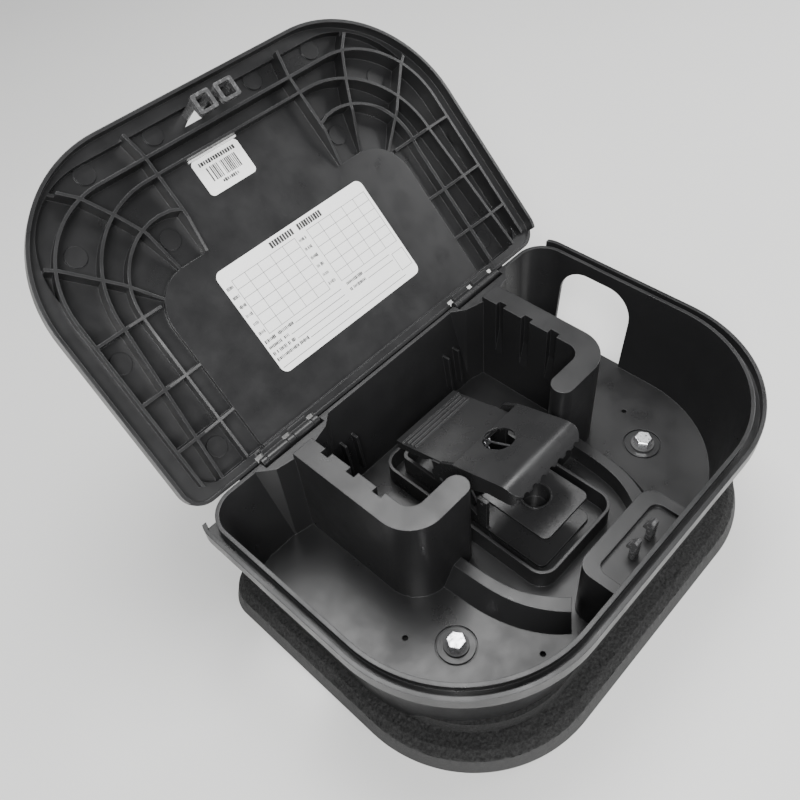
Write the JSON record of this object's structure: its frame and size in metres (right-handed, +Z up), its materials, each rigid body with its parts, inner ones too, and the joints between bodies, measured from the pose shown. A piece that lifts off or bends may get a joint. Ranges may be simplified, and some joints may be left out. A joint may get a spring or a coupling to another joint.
{
  "type": "rodent bait station",
  "caption": "Locking rodent bait station with an open ribbed lid, weighted foot, side entry holes, bait rod slots and a snap trap.",
  "frame": {"origin": "on the flat underside of the weight block, on the middle plane of the box and between the front and rear walls", "axes": "+X to the right, +Y towards the hinge at the rear, +Z up"},
  "size_m": [0.336, 0.3788, 0.2574],
  "materials": {
    "black_plastic": "satin moulded",
    "trap_plastic": "satin moulded",
    "latch_plastic": "semi gloss",
    "cast_block": "rough cast, dyed black",
    "zinc_steel": "bright zinc",
    "black_rubber": "matt",
    "pin_steel": "drawn wire",
    "white_card": "printed, coated"
  },
  "bodies": {
    "base": {"weight_block": "cast_block", "base_tray": "black_plastic", "anchor_screws": "zinc_steel", "anchor_washers": "black_rubber", "lock_hook_left": "latch_plastic", "lock_hook_right": "latch_plastic", "hinge_pin_left": "pin_steel", "hinge_pin_right": "pin_steel", "trap_base": "trap_plastic", "trap_pin": "pin_steel", "trigger_pin": "pin_steel", "trap_spring": "pin_steel"},
    "lid": {"lid": "black_plastic", "lid_catch_left": "latch_plastic", "lid_catch_right": "latch_plastic", "record_card": "white_card", "small_label": "white_card", "label_tab": "white_card"},
    "jaw": {"trap_jaw": "trap_plastic", "trap_pedal": "trap_plastic"},
    "trigger": {"trigger_plate": "trap_plastic", "bait_cup": "trap_plastic"}
  },
  "joints": [
    {"name": "lid_hinge", "type": "hinge", "parent": "base", "child": "lid", "pos_m": [0, 0.1115, 0.1025], "axis": [1, 0, 0], "range_deg": [0, 135]},
    {"name": "jaw_pivot", "type": "hinge", "parent": "base", "child": "jaw", "pos_m": [0, 0.038, 0.066], "axis": [1, 0, 0], "range_deg": [0, 36], "deforming": ["trap_spring"]},
    {"name": "trigger_pivot", "type": "hinge", "parent": "base", "child": "trigger", "pos_m": [0, 0.01, 0.0575], "axis": [1, 0, 0], "range_deg": [0, 15]}
  ],
  "couplings": [
    {"joint": "trigger_pivot", "follows": "jaw_pivot", "ratio": 0.41667}
  ]
}
